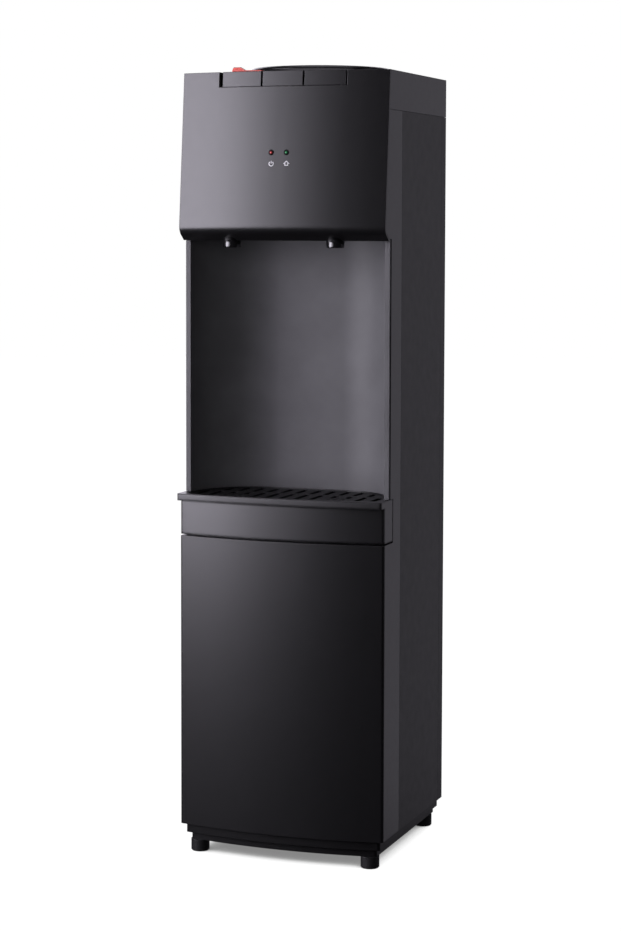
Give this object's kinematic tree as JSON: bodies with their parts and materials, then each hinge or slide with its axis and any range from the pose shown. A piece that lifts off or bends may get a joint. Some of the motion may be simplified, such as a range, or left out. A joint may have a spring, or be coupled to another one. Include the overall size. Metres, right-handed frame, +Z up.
{
  "type": "water dispenser",
  "caption": "Floor-standing water dispenser: tall cabinet with a crowned front, filling recess with spouts, pull-out drip tray, press tabs on top and a seat for an upturned bottle.",
  "frame": {"origin": "on the floor, under the middle of the bounding box", "axes": "+X to the right seen from the front, +Y to the rear, +Z up"},
  "size_m": [0.3, 0.3102, 1.099],
  "materials": {
    "black_satin": "fine satin moulded plastic, near black",
    "black_gloss": "glossy near-black plastic",
    "black_frame": "matt near-black plastic",
    "coated_side": "black coated steel sheet with a fine grain",
    "coated_rear": "dark grey coated steel sheet",
    "galvanised": "plain galvanised sheet",
    "zinc": "bright zinc-plated steel",
    "stainless": "drawn stainless steel",
    "red_plastic": "warm red plastic",
    "lens_red": "clear red lens, lit",
    "lens_green": "clear green lens, lit",
    "green_plastic": "green translucent plastic",
    "white_plastic": "plain off-white plastic",
    "clear_plastic": "milky food-grade plastic",
    "silicone": "soft milky silicone tube",
    "valve_red": "red plastic",
    "valve_blue": "blue plastic",
    "foam": "light closed-cell foam",
    "rubber_black": "black rubber",
    "copper": "bare copper tube",
    "black_enamel": "black enamel",
    "mica_band": "heater band in a metal sleeve",
    "circuit_board": "green circuit board",
    "bakelite": "dark phenolic plastic"
  },
  "bodies": {
    "cabinet": {"base_plinth": "black_frame", "levelling_feet": "black_frame", "base_plate": "galvanised", "front_housing": "black_satin", "recess_liner": "black_satin", "hood_cover": "black_satin", "top_cover": "black_satin", "side_panel_left": "coated_side", "side_panel_right": "coated_side", "rear_panel": "coated_rear", "panel_screws": "zinc", "tab_axle": "zinc", "tab_carrier": "black_frame", "valve_spring_hot": "zinc", "valve_spring_ambient": "zinc", "valve_spring_cold": "zinc", "valve_body_hot": "valve_red", "valve_body_ambient": "white_plastic", "valve_body_cold": "valve_blue", "valve_bracket": "galvanised", "spout_hot": "black_gloss", "spout_cold": "black_gloss", "mixing_tube": "silicone", "led_power": "lens_red", "led_cooling": "lens_green", "led_board": "circuit_board", "tank_shelf": "galvanised", "cold_tank": "stainless", "tank_lid": "white_plastic", "tank_insulation": "foam", "evaporator_coil": "copper", "water_tubes": "silicone", "hot_tank": "stainless", "hot_tank_jacket": "foam", "heater_band": "mica_band", "thermostats": "bakelite", "hot_tank_bracket": "galvanised", "drain_outlet": "white_plastic", "compressor": "black_enamel", "compressor_mounts": "rubber_black", "condenser_tube": "black_enamel", "condenser_wires": "black_enamel", "condenser_clips": "zinc", "refrigerant_lines": "copper", "switch_housing": "black_frame", "cable_gland": "black_frame"},
    "hot_tab": {"tab_hot": "black_satin"},
    "child_lock": {"child_lock": "red_plastic"},
    "ambient_tab": {"tab_ambient": "black_satin"},
    "cold_tab": {"tab_cold": "black_satin"},
    "hot_rod": {"push_rod_hot": "white_plastic"},
    "ambient_rod": {"push_rod_ambient": "white_plastic"},
    "cold_rod": {"push_rod_cold": "white_plastic"},
    "drip_tray": {"drip_tray": "black_satin"},
    "drip_grille": {"drip_grille": "black_gloss"},
    "bottle_seat": {"bottle_seat": "black_gloss", "bottle_probe": "clear_plastic"},
    "heating_rocker": {"rocker_heat": "red_plastic"},
    "cooling_rocker": {"rocker_cool": "green_plastic"},
    "drain_cap": {"drain_cap": "rubber_black"}
  },
  "joints": [
    {"name": "hot_tab_press", "type": "hinge", "parent": "cabinet", "child": "hot_tab", "pos_m": [-0.0585, -0.1221, 1.071], "axis": [-1, 0, 0], "range_deg": [0, 8], "stiffness_Nm_per_rad": 0.6, "springref_deg": -11.46},
    {"name": "ambient_tab_press", "type": "hinge", "parent": "cabinet", "child": "ambient_tab", "pos_m": [0.002, -0.1221, 1.071], "axis": [-1, 0, 0], "range_deg": [0, 8], "stiffness_Nm_per_rad": 0.6, "springref_deg": -11.46},
    {"name": "cold_tab_press", "type": "hinge", "parent": "cabinet", "child": "cold_tab", "pos_m": [0.0625, -0.1221, 1.071], "axis": [-1, 0, 0], "range_deg": [0, 8], "stiffness_Nm_per_rad": 0.6, "springref_deg": -11.46},
    {"name": "hot_rod_slide", "type": "slide", "parent": "cabinet", "child": "hot_rod", "axis": [0, 0, -1], "range_m": [0, 0.003], "deforming": ["valve_spring_hot"]},
    {"name": "ambient_rod_slide", "type": "slide", "parent": "cabinet", "child": "ambient_rod", "axis": [0, 0, -1], "range_m": [0, 0.003], "deforming": ["valve_spring_ambient"]},
    {"name": "cold_rod_slide", "type": "slide", "parent": "cabinet", "child": "cold_rod", "axis": [0, 0, -1], "range_m": [0, 0.003], "deforming": ["valve_spring_cold"]},
    {"name": "child_lock_slide", "type": "slide", "parent": "hot_tab", "child": "child_lock", "axis": [-1, 0, 0], "range_m": [0, 0.008]},
    {"name": "drip_tray_slide", "type": "slide", "parent": "cabinet", "child": "drip_tray", "axis": [0, -1, 0], "range_m": [0, 0.12]},
    {"name": "drip_grille_lift", "type": "slide", "parent": "drip_tray", "child": "drip_grille", "axis": [0, 0, 1], "range_m": [0, 0.04]},
    {"name": "bottle_seat_lift", "type": "slide", "parent": "cabinet", "child": "bottle_seat", "axis": [0, 0, 1], "range_m": [0, 0.12]},
    {"name": "heating_switch", "type": "hinge", "parent": "cabinet", "child": "heating_rocker", "pos_m": [0.088, 0.1341, 0.985], "axis": [1, 0, 0], "range_deg": [0, 16]},
    {"name": "cooling_switch", "type": "hinge", "parent": "cabinet", "child": "cooling_rocker", "pos_m": [0.112, 0.1341, 0.985], "axis": [1, 0, 0], "range_deg": [0, 16]},
    {"name": "drain_cap_pull", "type": "slide", "parent": "cabinet", "child": "drain_cap", "axis": [0, 1, 0], "range_m": [0, 0.02]}
  ],
  "couplings": [
    {"joint": "hot_rod_slide", "follows": "hot_tab_press", "m_per_rad": 0.02},
    {"joint": "ambient_rod_slide", "follows": "ambient_tab_press", "m_per_rad": 0.02},
    {"joint": "cold_rod_slide", "follows": "cold_tab_press", "m_per_rad": 0.02}
  ]
}
